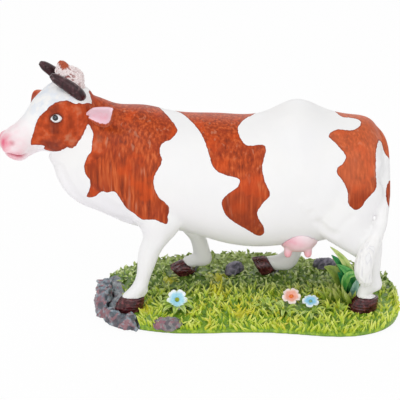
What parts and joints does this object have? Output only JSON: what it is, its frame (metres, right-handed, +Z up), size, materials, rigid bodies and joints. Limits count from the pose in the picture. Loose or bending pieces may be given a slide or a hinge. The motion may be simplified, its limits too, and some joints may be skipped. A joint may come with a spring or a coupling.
{
  "type": "cow figurine",
  "caption": "Painted cow walking on an oval grass base, head turned aside, with stones, flowers and leaves round its feet.",
  "frame": {"origin": "point on the resting plane, under the middle of the figure's overall length and of the trunk's width", "axes": "+X from the nose towards the tail, +Y from the near (left) side towards the far side, +Z up"},
  "size_m": [0.2985, 0.1092, 0.1985],
  "materials": {
    "cream_white_glaze": "satin paint on resin",
    "horn": "gloss paint on resin",
    "hoof": "gloss paint on resin",
    "eye": "gloss paint on resin",
    "forelock": "satin paint on resin",
    "udder": "satin paint on resin",
    "grass": "painted resin",
    "rock": "painted resin",
    "leaf": "painted resin",
    "blue_petal": "painted resin",
    "orange_petal": "painted resin",
    "flower_centre": "painted resin",
    "felt": "felt",
    "steel": "bare"
  },
  "bodies": {
    "root": {"body_casting": "cream_white_glaze", "head_casting": "cream_white_glaze", "front_left_leg": "cream_white_glaze", "front_right_leg": "cream_white_glaze", "rear_left_leg": "cream_white_glaze", "rear_right_leg": "cream_white_glaze", "left_ear": "cream_white_glaze", "right_ear": "cream_white_glaze", "tail": "cream_white_glaze", "tail_switch": "cream_white_glaze", "left_horn": "horn", "right_horn": "horn", "front_left_hoof": "hoof", "front_right_hoof": "hoof", "rear_left_hoof": "hoof", "rear_right_hoof": "hoof", "left_eye": "eye", "right_eye": "eye", "forelock": "forelock", "udder": "udder", "base_casting": "grass", "corner_rock": "rock", "edge_stone": "rock", "back_stone_left": "rock", "back_stone_right": "rock", "leaf_plant": "leaf", "front_blue_flower_petals": "blue_petal", "rear_blue_flower_petals": "blue_petal", "orange_flower_petals": "orange_petal", "front_blue_flower_centre": "flower_centre", "orange_flower_centre": "flower_centre", "rear_blue_flower_centre": "flower_centre", "felt_sheet": "felt", "leg_pins": "steel"}
  },
  "joints": []
}
